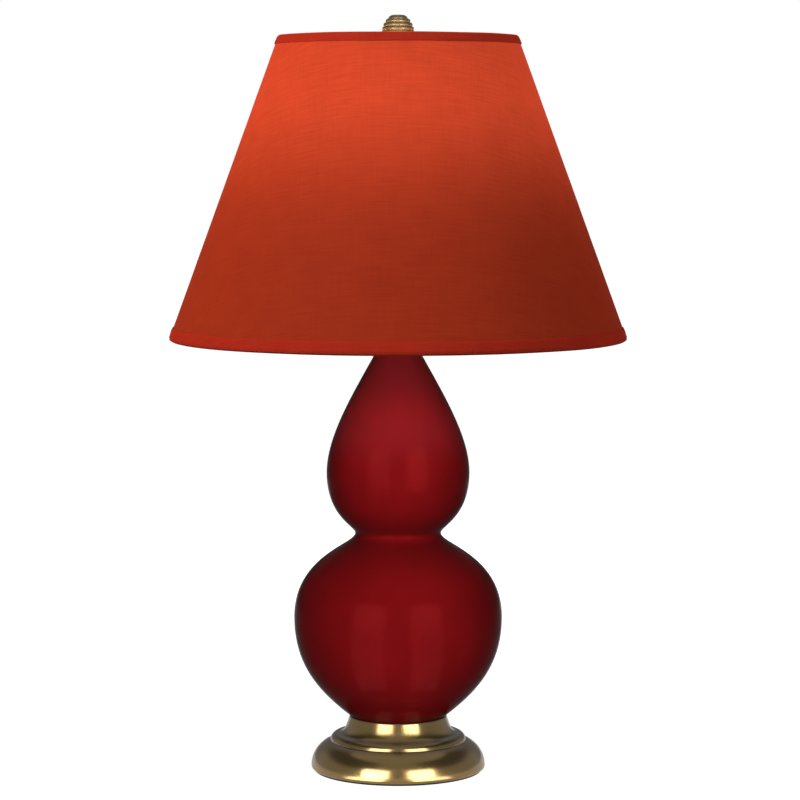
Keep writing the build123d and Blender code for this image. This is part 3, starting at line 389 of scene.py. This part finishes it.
def makeGlaze():
    sockets = {
        "Metallic": glaze["lustre"],
        "Roughness": glaze["lustreRoughness"],
        "Specular IOR Level": 0.0,
        "Coat Weight": 1.0,
        "Coat IOR": glaze["layerBend"],
        "Coat Roughness": glaze["layerRoughness"],
        "Coat Tint": glaze["layerTint"],
    }
    material, tree, shader = startMaterial("oxbloodGlaze", sockets)
    place = objectPlace(tree)
    clouds = remap(tree, cloudy(tree, place, glaze["cloudSize"], detail=3.0), *glaze["cloudNoise"], 0, 1)
    red = blendColours(tree, clouds, toLinear(*glaze["deepRed"]), toLinear(*glaze["fullRed"]))
    specks = cloudy(tree, place, glaze["speckSize"], detail=1.0)
    specks = remap(tree, specks, *glaze["speckNoise"], 0, glaze["speckShare"])
    red = blendColours(tree, specks, red, toLinear(*glaze["deepRed"]))
    height = parts(tree, place)[2]
    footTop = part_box("pedestal")[1][2] + glaze["thinHeight"]
    thin = remap(tree, height, footTop, footTop + glaze["thinHeight"], glaze["thinShare"], 0)
    red = blendColours(tree, thin, red, toLinear(*glaze["thinRed"]))
    # painted light on the upper bulb, then painted shade towards the mouth
    for colour, heights in (("crownPaintedLight", "crownPaintedLightHeights"), ("mouthPaintedShade", "mouthPaintedShadeHeights")):
        share = ramp(tree, height, *glaze[heights], 0, 1)
        red = blendColours(tree, share, red, toLinear(*glaze[colour]))
    tree.links.new(red, shader.inputs["Base Color"])
    swell = cloudy(tree, place, glaze["swellSize"], detail=1.0)
    skin = cloudy(tree, place, glaze["skinSize"], detail=1.0)
    surface = plus(tree, swell, times(tree, skin, glaze["skinShare"]))
    tree.links.new(bumped(tree, surface, glaze["ripple"]), shader.inputs["Coat Normal"])
    give(material, "gourd_body")
    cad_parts["gourd_body"].visible_glossy = False  # the brass stays clear of its dark red


makeGlaze()
print("gourd glazed")


# Brass: turned, satined and lacquered, with painted shade along the foot's inside corners, and fine rings left by
# the lathe.
brass = {
    "lacquer": 1.0,
    "lacquerBend": 1.46,
    "lacquerRoughness": 0.15,
    "cloudSize": 0.022,
    "cloudNoise": (0.35, 0.75),
    "cloudShare": 0.8,
    "bandStretch": (12, 12, 900),  # bands run round a piece and are thin upwards
    "bandNoise": (0.4, 0.7),
    "bandShares": (-0.12, 0.18),
    "dullRoughness": 0.06,  # how much rougher the dull places are
    "ringPitch": 0.00042,
    "grainTurn": 0.25,  # of a full turn, so that the highlight stretches along the rings
    "paintedShadeBrown": (88, 73, 48),
    "paintedShadeShare": 0.6,
    "paintedShadeWidth": 0.0016,
    "finishes": {
        "turnedBrass": {
            "bright": (184, 153, 94), "dull": (168, 138, 81), "roughness": 0.19, "anisotropy": 0.25,
            "ringDepth": 0.000004,
            "paintedShadeCreases": (0.0220, 0.0269),  # heights of the foot's inside corners, where painted shade darkens it
            "nodes": ("pedestal", "vase_cap", "neck_tube", "harp_stud", "harp_head"),
        },
        "finialBrass": {
            "bright": (196, 170, 124), "dull": (172, 146, 102), "roughness": 0.5, "anisotropy": 0.2,
            "ringDepth": 0, "paintedShadeCreases": (), "nodes": ("finial",),
        },
        "plainBrass": {
            "bright": (164, 136, 84), "dull": (120, 96, 56), "roughness": 0.36, "anisotropy": 0.0,
            "ringDepth": 0, "paintedShadeCreases": (),
            "nodes": (
                "harp_bow", "harp_saddle", "saddle_nut", "harp_foot_left", "harp_foot_right",
                "harp_sleeve_left", "harp_sleeve_right", "spider_fitter", "bottom_ring",
            ),
        },
        "brightBrass": {
            "bright": (200, 168, 100), "dull": (164, 132, 74), "roughness": 0.22, "anisotropy": 0.4,
            "ringDepth": 0, "paintedShadeCreases": (),
            "nodes": ("socket_cap", "socket_shell", "terminal_screws", "centre_contact"),
        },
    },
}


# painted shade: a brown band darkens the colour along each inside corner
def paintCreaseShade(tree, colour, height, paintedShadeCreases):
    for crease in paintedShadeCreases:
        away = calc(tree, "DIVIDE", calc(tree, "SUBTRACT", height, crease), brass["paintedShadeWidth"])
        near = calc(tree, "EXPONENT", times(tree, away, away, -1.0))
        share = times(tree, near, brass["paintedShadeShare"])
        colour = blendColours(tree, share, colour, toLinear(*brass["paintedShadeBrown"]))
    return colour


def finishBrass():
    for name, finish in brass["finishes"].items():
        sockets = {
            "Metallic": 1.0,
            "Anisotropic": finish["anisotropy"],
            "Anisotropic Rotation": brass["grainTurn"],
            "Coat Weight": brass["lacquer"],
            "Coat IOR": brass["lacquerBend"],
            "Coat Roughness": brass["lacquerRoughness"],
        }
        material, tree, shader = startMaterial(name, sockets)
        place = objectPlace(tree)
        height = parts(tree, place)[2]
        clouds = cloudy(tree, place, brass["cloudSize"], detail=3.0, roughness=0.6)
        clouds = remap(tree, clouds, *brass["cloudNoise"], 0, brass["cloudShare"])
        bands = cloudy(tree, stretched(tree, place, *brass["bandStretch"]), size=1.0)
        tarnish = plus(tree, clouds, remap(tree, bands, *brass["bandNoise"], *brass["bandShares"]))
        tarnish = calc(tree, "MINIMUM", calc(tree, "MAXIMUM", tarnish, 0.0), 1.0)
        colour = blendColours(tree, tarnish, toLinear(*finish["bright"]), toLinear(*finish["dull"]))
        colour = paintCreaseShade(tree, colour, height, finish["paintedShadeCreases"])
        tree.links.new(colour, shader.inputs["Base Color"])
        rough = plus(tree, finish["roughness"], times(tree, tarnish, brass["dullRoughness"]))
        tree.links.new(rough, shader.inputs["Roughness"])
        rings = calc(tree, "SINE", times(tree, height, 2 * math.pi / brass["ringPitch"]))
        relief = bumped(tree, times(tree, rings, bands), finish["ringDepth"])
        tree.links.new(relief, shader.inputs["Normal"])
        tangent = put(tree, "Tangent", {}, direction_type="RADIAL", axis="Z").outputs[0]
        tree.links.new(tangent, shader.inputs["Tangent"])
        give(material, *finish["nodes"])


finishBrass()
print("brass finished")


# Shade: sizes in metres, taken along the cone. The cloth is cut as one flat arc and lapped at the back.
shade = {
    "bottomRadius": 0.165,
    "topRadius": 0.0858,
    "trimThickness": 0.6 * millimetre,
    "clothThickness": 0.7 * millimetre,
    "clothFill": 0.8,  # how much of that the cloth takes up, so that it clears the lining
    "bottomBand": 8.7 * millimetre,
    "topBand": 7.0 * millimetre,
    "wireRoll": 2.65 * millimetre,  # radius of the strip where it turns round the wire
    "inTurn": 7.5 * millimetre,
    "inTurnStraight": 0.6,  # the share of it that hangs straight before it leans on the lining
    "liningDepth": 2.7 * millimetre,
    "lap": 9.0 * millimetre,
    "clothLapLift": 0.35 * millimetre,
    "trimLapLift": 0.55 * millimetre,
    "crown": 0.18 * millimetre,  # how far the strips stand up along their middle
    "crownFade": 1.4,
    "wander": 0.06 * millimetre,  # how far the edges stray from true
    "wanderWaves": (3, 40),  # how quickly they do, round the lamp and along the cone
    "sharpAngle": 50,
    "roundSteps": 288,
    "slantSteps": 48,
    "bandSteps": 8,
    "rollSteps": 12,
    "capSteps": 4,
}
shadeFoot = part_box("bottom_trim")[0][2]
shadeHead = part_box("top_trim")[1][2]


def shadeLean():
    # the turned-in strip hangs a little below the outer edge, so the lean is found in a few rounds
    lean = 0.34
    for _ in range(4):
        hang = 2 * shade["wireRoll"] * math.sin(lean)
        lean = math.atan2(shade["bottomRadius"] - shade["topRadius"], shadeHead - shadeFoot - hang)
    return lean, shadeFoot + hang


lean, shadeBase = shadeLean()
slantLength = (shadeHead - shadeBase) / math.cos(lean)


def onCone(along, out):
    radius = shade["bottomRadius"] - along * math.sin(lean) + out * math.cos(lean)
    return radius, shadeBase + along * math.cos(lean) + out * math.sin(lean)


def spinStrip(name, outline, lift, material):
    # turns a closed outline of (along, out) points round the lamp, and laps its ends at the back
    steps = shade["roundSteps"]
    reach = shade["lap"] / shade["bottomRadius"]
    slope = 0.5 * reach  # past the lap the upper end comes down over this angle
    around, upwards = shade["wanderWaves"]
    vertices = []
    for i in range(steps + 1):
        turn = -math.pi - reach + (2 * math.pi + reach) * i / steps
        onTop = max(0.0, min(1.0, (-math.pi + slope - turn) / slope))
        rise = lift * onTop * onTop * (3 - 2 * onTop)
        for along, out in outline:
            spot = Vector((around * math.sin(turn), around * math.cos(turn), upwards * along))
            stray = shade["wander"] * noise.noise(spot)
            radius, height = onCone(along + 2 * stray, out + rise + stray)
            vertices.append((radius * math.sin(turn), -radius * math.cos(turn), height))
    count = len(outline)
    faces = []
    for i in range(steps):
        for j in range(count):
            near = i * count + j
            beside = i * count + (j + 1) % count
            faces.append((near, near + count, beside + count, beside))
    faces.append(tuple(range(count)))
    faces.append(tuple(reversed(range(steps * count, (steps + 1) * count))))
    mesh = bpy.data.meshes.new(name)
    mesh.from_pydata(vertices, [], faces)
    mesh.update()
    piece = bpy.data.objects.new(name, mesh)
    bpy.context.collection.objects.link(piece)
    mesh.materials.append(material)
    mesh.shade_smooth()
    mesh.set_sharp_from_angle(angle=math.radians(shade["sharpAngle"]))
    return piece


def thicken(path, thickness):
    # a closed outline round an open path, with a half-round at both ends
    def normal(i):
        before, after = path[max(i - 1, 0)], path[min(i + 1, len(path) - 1)]
        run = Vector((after[0] - before[0], after[1] - before[1])).normalized()
        return Vector((-run.y, run.x))

    half = thickness / 2
    sides = [[], []]
    for i, point in enumerate(path):
        side = normal(i) * half
        sides[0].append((point[0] + side.x, point[1] + side.y))
        sides[1].append((point[0] - side.x, point[1] - side.y))
    caps = []
    for end, sign in ((len(path) - 1, -1), (0, 1)):
        side = normal(end)
        ahead = Vector((side.y, -side.x)) * -sign
        arc = []
        for k in range(1, shade["capSteps"]):
            angle = math.pi * k / shade["capSteps"]
            offset = (side * -sign * math.cos(angle) + ahead * math.sin(angle)) * half
            arc.append((path[end][0] + offset.x, path[end][1] + offset.y))
        caps.append(arc)
    return sides[0] + caps[0] + sides[1][::-1] + caps[1]


# Cloth: plain red weave, its threads straight in the flat cut, with slubs, and a painted glow for the bulb's light
# coming through it.
cloth = {
    "coverRed": (139, 38, 10),
    "coverDark": (126, 31, 8),
    "trimRed": (155, 34, 14),
    "trimDark": (141, 28, 12),
    "roughness": 0.85,
    "diffuseRoughness": 0.2,
    "specular": 0.05,
    "toneNoise": (0.36, 0.66),
    "slubLength": 0.026,
    "slubWidth": 0.0012,
    "weftShare": 0.68,
    "warpShare": 0.32,
    "streakShare": 0.8,
    "patchShare": 0.2,
    "patchSize": 0.022,
    "threadPitch": 0.00085,
    "threadShare": 0.04,
    "threadRelief": 0.00010,
    "threadDepth": 0.5,  # how far the threads stand out beside the slubs
    "reliefStrength": 0.4,
    "glowColour": (255, 90, 54),
    "glowStrength": 0.36,
    "glowEverywhere": 0.08,  # the share of it that the whole shade has
    "glowHeight": 0.494,
    "glowAbove": 0.075,  # how fast it fades upwards
    "glowBelow": 0.045,  # and downwards
    "glowNoise": (0.35, 0.65),
    "glowShares": (0.86, 1.14),
    "trimGlow": 0.12,
    "arms": 3,
    "armBearing": 3.3,  # degrees round from the front of the first spider arm
    "armShade": 0.18,
    "armSharpness": 160,
    "armDepths": (0.022, 0.004),  # metres below the upper edge where an arm's painted shadow starts and is full
}


def flatCut(tree):
    # where a point of the cone lies on the cloth laid flat: across, down; and its turn and height
    x, y, height = parts(tree, objectPlace(tree))
    turn = bearingOf(tree, x, y)
    reach = calc(tree, "DIVIDE", lengthOf(tree, x, y), math.sin(lean))
    swing = times(tree, turn, math.sin(lean))
    across = times(tree, reach, calc(tree, "SINE", swing))
    down = times(tree, reach, calc(tree, "COSINE", swing))
    return across, down, turn, height


def threadWave(tree, place):
    wave = calc(tree, "SINE", times(tree, place, 2 * math.pi / cloth["threadPitch"]))
    return times(tree, plus(tree, wave, 1.0), 0.5)


def paintedBulbGlow(tree, height, turn, tone):
    # painted glow, brightest a little above the bulb, fading faster below, with painted shadows of the spider's
    # arms near the top
    away = calc(tree, "SUBTRACT", height, cloth["glowHeight"])
    above = calc(tree, "DIVIDE", calc(tree, "MAXIMUM", away, 0.0), cloth["glowAbove"])
    below = calc(tree, "DIVIDE", calc(tree, "MINIMUM", away, 0.0), cloth["glowBelow"])
    fade = plus(tree, times(tree, above, above), times(tree, below, below))
    glow = plus(tree, calc(tree, "EXPONENT", times(tree, fade, -0.5)), cloth["glowEverywhere"])
    swing = times(tree, calc(tree, "SUBTRACT", turn, math.radians(cloth["armBearing"])), cloth["arms"])
    arm = times(tree, plus(tree, calc(tree, "COSINE", swing), 1.0), 0.5)
    start, full = (shadeHead - depth for depth in cloth["armDepths"])
    shadow = ramp(tree, height, start, full, 0, cloth["armShade"])
    shadow = times(tree, calc(tree, "POWER", arm, cloth["armSharpness"]), shadow)
    uneven = remap(tree, tone, *cloth["glowNoise"], *cloth["glowShares"])
    return times(tree, glow, calc(tree, "SUBTRACT", 1.0, shadow), uneven)


def makeCloth(name, light, dark, glowShare):
    sockets = {
        "Roughness": cloth["roughness"],
        "Diffuse Roughness": cloth["diffuseRoughness"],
        "Specular IOR Level": cloth["specular"],
        "Emission Color": toLinear(*cloth["glowColour"]),
    }
    material, tree, shader = startMaterial(name, sockets)
    across, down, turn, height = flatCut(tree)
    flat = put(tree, "CombineXYZ", {0: across, 1: down, 2: 0.0}).outputs[0]
    along, over = 1 / cloth["slubLength"], 1 / cloth["slubWidth"]
    weft = cloudy(tree, stretched(tree, flat, along, over, 1), size=1.0, detail=3.0, roughness=0.6)
    warp = cloudy(tree, stretched(tree, flat, over, along, 1), size=1.0, detail=3.0, roughness=0.6)
    patches = cloudy(tree, flat, cloth["patchSize"], detail=3.0, roughness=0.55)
    streaks = plus(tree, times(tree, weft, cloth["weftShare"]), times(tree, warp, cloth["warpShare"]))
    tone = plus(tree, times(tree, streaks, cloth["streakShare"]), times(tree, patches, cloth["patchShare"]))
    threads = calc(tree, "ABSOLUTE", calc(tree, "SUBTRACT", threadWave(tree, across), threadWave(tree, down)))
    tone = plus(tree, tone, times(tree, threads, cloth["threadShare"]))
    share = remap(tree, tone, *cloth["toneNoise"], 0, 1)
    colour = blendColours(tree, share, toLinear(*dark), toLinear(*light))
    tree.links.new(colour, shader.inputs["Base Color"])
    glow = times(tree, paintedBulbGlow(tree, height, turn, tone), cloth["glowStrength"] * glowShare)
    tree.links.new(glow, shader.inputs["Emission Strength"])
    relief = plus(tree, times(tree, threads, cloth["threadDepth"]), streaks)
    relief = bumped(tree, relief, cloth["threadRelief"], cloth["reliefStrength"])
    tree.links.new(relief, shader.inputs["Normal"])
    return material


def trimOutline(edge, direction, band):
    # down the band, round the wire and up inside as far as the lining
    half = shade["trimThickness"] / 2
    roll = shade["wireRoll"]
    points = []
    for i in range(shade["bandSteps"] + 1):
        share = i / shade["bandSteps"]
        crown = shade["crown"] * math.sin(math.pi * min(1.0, shade["crownFade"] * share))
        points.append((band + (roll - band) * share, -half + crown))
    for i in range(1, shade["rollSteps"]):
        angle = math.pi * i / shade["rollSteps"]
        points.append((roll - (roll - half) * math.sin(angle), -roll + (roll - half) * math.cos(angle)))
    points.append((roll, -2 * roll + half))
    points.append((shade["inTurnStraight"] * shade["inTurn"], -2 * roll + half))
    points.append((shade["inTurn"], -shade["liningDepth"]))
    return thicken([(edge + direction * along, out) for along, out in points], shade["trimThickness"])


def coverShade():
    inset = shade["trimThickness"]
    middle = -inset - shade["clothThickness"] / 2
    steps = shade["slantSteps"]
    path = [(inset + (slantLength - 2 * inset) * i / steps, middle) for i in range(steps + 1)]
    outline = thicken(path, shade["clothFill"] * shade["clothThickness"])
    coverCloth = makeCloth("coverCloth", cloth["coverRed"], cloth["coverDark"], 1.0)
    cover = spinStrip("shadeCoverCloth", outline, shade["clothLapLift"], coverCloth)
    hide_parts("shade_cover")
    trimCloth = makeCloth("trimCloth", cloth["trimRed"], cloth["trimDark"], cloth["trimGlow"])
    bands = []
    for name, node, edge, direction, band in (
        ("bottomTrimStrip", "bottom_trim", 0.0, 1, shade["bottomBand"]),
        ("topTrimStrip", "top_trim", slantLength, -1, shade["topBand"]),
    ):
        strip = spinStrip(name, trimOutline(edge, direction, band), shade["trimLapLift"], trimCloth)
        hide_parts(node)
        bands.append(strip)
    for piece in [cover, *bands]:
        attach(piece, "shade")
        shadeAlone.objects.link(piece)
        allButShade.objects.link(piece)
    for member in allButShade.collection_objects:
        member.light_linking.link_state = "EXCLUDE"


coverShade()
print("shade covered")


# Lining: smooth cream board, warmed by the bulb.
lining = {
    "light": (244, 232, 206),
    "dark": (232, 216, 184),
    "roughness": 0.55,
    "fibreSize": 0.0012,
    "fibreRelief": 0.00004,
    "reliefStrength": 0.3,
    "patchSize": 0.05,
    "toneNoise": (0.35, 0.65),
}


def makeLining():
    material, tree, shader = startMaterial("creamLining", {"Roughness": lining["roughness"]})
    place = objectPlace(tree)
    fibres = cloudy(tree, place, lining["fibreSize"])
    patches = cloudy(tree, place, lining["patchSize"])
    tone = times(tree, plus(tree, fibres, patches), 0.5)
    share = remap(tree, tone, *lining["toneNoise"], 0, 1)
    colour = blendColours(tree, share, toLinear(*lining["dark"]), toLinear(*lining["light"]))
    tree.links.new(colour, shader.inputs["Base Color"])
    relief = bumped(tree, fibres, lining["fibreRelief"], lining["reliefStrength"])
    tree.links.new(relief, shader.inputs["Normal"])
    give(material, "shade_liner")


makeLining()
print("shade lined")


# Bulb: frosted and lit, with a clear stem and a hot wire inside.
bulb = {
    "frost": (248, 240, 226),
    "frostRoughness": 0.35,
    "frostSize": 0.004,
    "frostNoise": (0.3, 0.7),
    "frostShares": (0.95, 1.05),
    "glowColour": (255, 214, 158),
    "glowStrength": 9.0,
    "neckGlow": 0.35,  # the share of it that the neck has
    "stemGlass": (240, 244, 242),
    "stemRoughness": 0.02,
    "stemClearness": 0.9,
    "wire": (255, 200, 120),
    "wireRoughness": 0.5,
    "wireGlow": (255, 190, 110),
    "wireStrength": 12.0,
}


def makeBulb():
    sockets = {
        "Base Color": toLinear(*bulb["frost"]),
        "Roughness": bulb["frostRoughness"],
        "Emission Color": toLinear(*bulb["glowColour"]),
    }
    frosted, tree, shader = startMaterial("frostedGlass", sockets)
    place = objectPlace(tree)
    height = parts(tree, place)[2]
    low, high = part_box("bulb_glass")[0][2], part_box("bulb_glass")[1][2]
    strength = ramp(tree, height, low, (low + high) / 2, bulb["neckGlow"], 1.0)
    frost = remap(tree, cloudy(tree, place, bulb["frostSize"]), *bulb["frostNoise"], *bulb["frostShares"])
    tree.links.new(times(tree, strength, frost, bulb["glowStrength"]), shader.inputs["Emission Strength"])
    give(frosted, "bulb_glass")

    sockets = {
        "Base Color": toLinear(*bulb["stemGlass"]),
        "Roughness": bulb["stemRoughness"],
        "Transmission Weight": bulb["stemClearness"],
    }
    clear, _, _ = startMaterial("clearGlass", sockets)
    give(clear, "bulb_stem")

    sockets = {
        "Base Color": toLinear(*bulb["wire"]),
        "Roughness": bulb["wireRoughness"],
        "Emission Color": toLinear(*bulb["wireGlow"]),
        "Emission Strength": bulb["wireStrength"],
    }
    hot, _, _ = startMaterial("hotWire", sockets)
    give(hot, "filament")


makeBulb()
print("bulb lit")


# Plain metals and mouldings: each has a fine grain and a little unevenness.
smallParts = {
    "patchSize": 0.012,
    "toneNoise": (0.7, 1.3),
    "roughNoise": (0.3, 0.7),
    "roughShares": (0.85, 1.15),  # of a finish's roughness, where it is smoothest and roughest
    "grainRelief": 0.00006,
    "reliefStrength": 0.25,
    "finishes": {
        "zincSteel": {
            "dark": (132, 134, 138), "light": (160, 162, 164), "roughness": 0.34, "metal": 1.0, "grain": 0.0006,
            "nodes": ("pipe_washer", "pipe_locknut", "lamp_pipe", "cap_set_screw", "switch_shaft", "bulb_leads"),
        },
        "bareAluminium": {
            "dark": (178, 178, 178), "light": (206, 206, 204), "roughness": 0.30, "metal": 1.0, "grain": 0.0008,
            "nodes": ("screw_shell", "bulb_cap"),
        },
        "solderTip": {
            "dark": (128, 128, 126), "light": (162, 162, 158), "roughness": 0.42, "metal": 1.0, "grain": 0.0006,
            "nodes": ("bulb_tip",),
        },
        "blackGlass": {
            "dark": (14, 14, 18), "light": (24, 24, 28), "roughness": 0.12, "metal": 0.0, "grain": 0.0020,
            "nodes": ("bulb_insulator",),
        },
        "castIron": {
            "dark": (48, 47, 46), "light": (66, 62, 58), "roughness": 0.70, "metal": 0.6, "grain": 0.0012,
            "nodes": ("base_weight",),
        },
        "blackRubber": {
            "dark": (20, 20, 20), "light": (32, 32, 31), "roughness": 0.75, "metal": 0.0, "grain": 0.0008,
            "nodes": ("seat_gasket",),
        },
        "blackPlastic": {
            "dark": (22, 20, 20), "light": (34, 31, 30), "roughness": 0.45, "metal": 0.0, "grain": 0.0008,
            "nodes": ("cord_bushing",),
        },
        "brownMoulding": {
            "dark": (40, 22, 15), "light": (58, 34, 22), "roughness": 0.38, "metal": 0.0, "grain": 0.0010,
            "nodes": ("socket_core", "switch_knob"),
        },
        "greyBoard": {
            "dark": (118, 110, 98), "light": (140, 132, 118), "roughness": 0.90, "metal": 0.0, "grain": 0.0010,
            "nodes": ("socket_liner",),
        },
        "darkFelt": {
            "dark": (24, 24, 22), "light": (44, 43, 39), "roughness": 1.00, "metal": 0.0, "grain": 0.0005,
            "nodes": ("felt_pad",),
        },
    },
}


def finishSmallParts():
    for name, finish in smallParts["finishes"].items():
        material, tree, shader = startMaterial(name, {"Metallic": finish["metal"]})
        place = objectPlace(tree)
        grain = cloudy(tree, place, finish["grain"])
        patches = cloudy(tree, place, smallParts["patchSize"], detail=3.0)
        tone = remap(tree, plus(tree, grain, patches), *smallParts["toneNoise"], 0, 1)
        colour = blendColours(tree, tone, toLinear(*finish["dark"]), toLinear(*finish["light"]))
        tree.links.new(colour, shader.inputs["Base Color"])
        ends = (min(1.0, share * finish["roughness"]) for share in smallParts["roughShares"])
        rough = remap(tree, patches, *smallParts["roughNoise"], *ends)
        tree.links.new(rough, shader.inputs["Roughness"])
        relief = bumped(tree, grain, smallParts["grainRelief"], smallParts["reliefStrength"])
        tree.links.new(relief, shader.inputs["Normal"])
        give(material, *finish["nodes"])


finishSmallParts()
print("small parts finished")
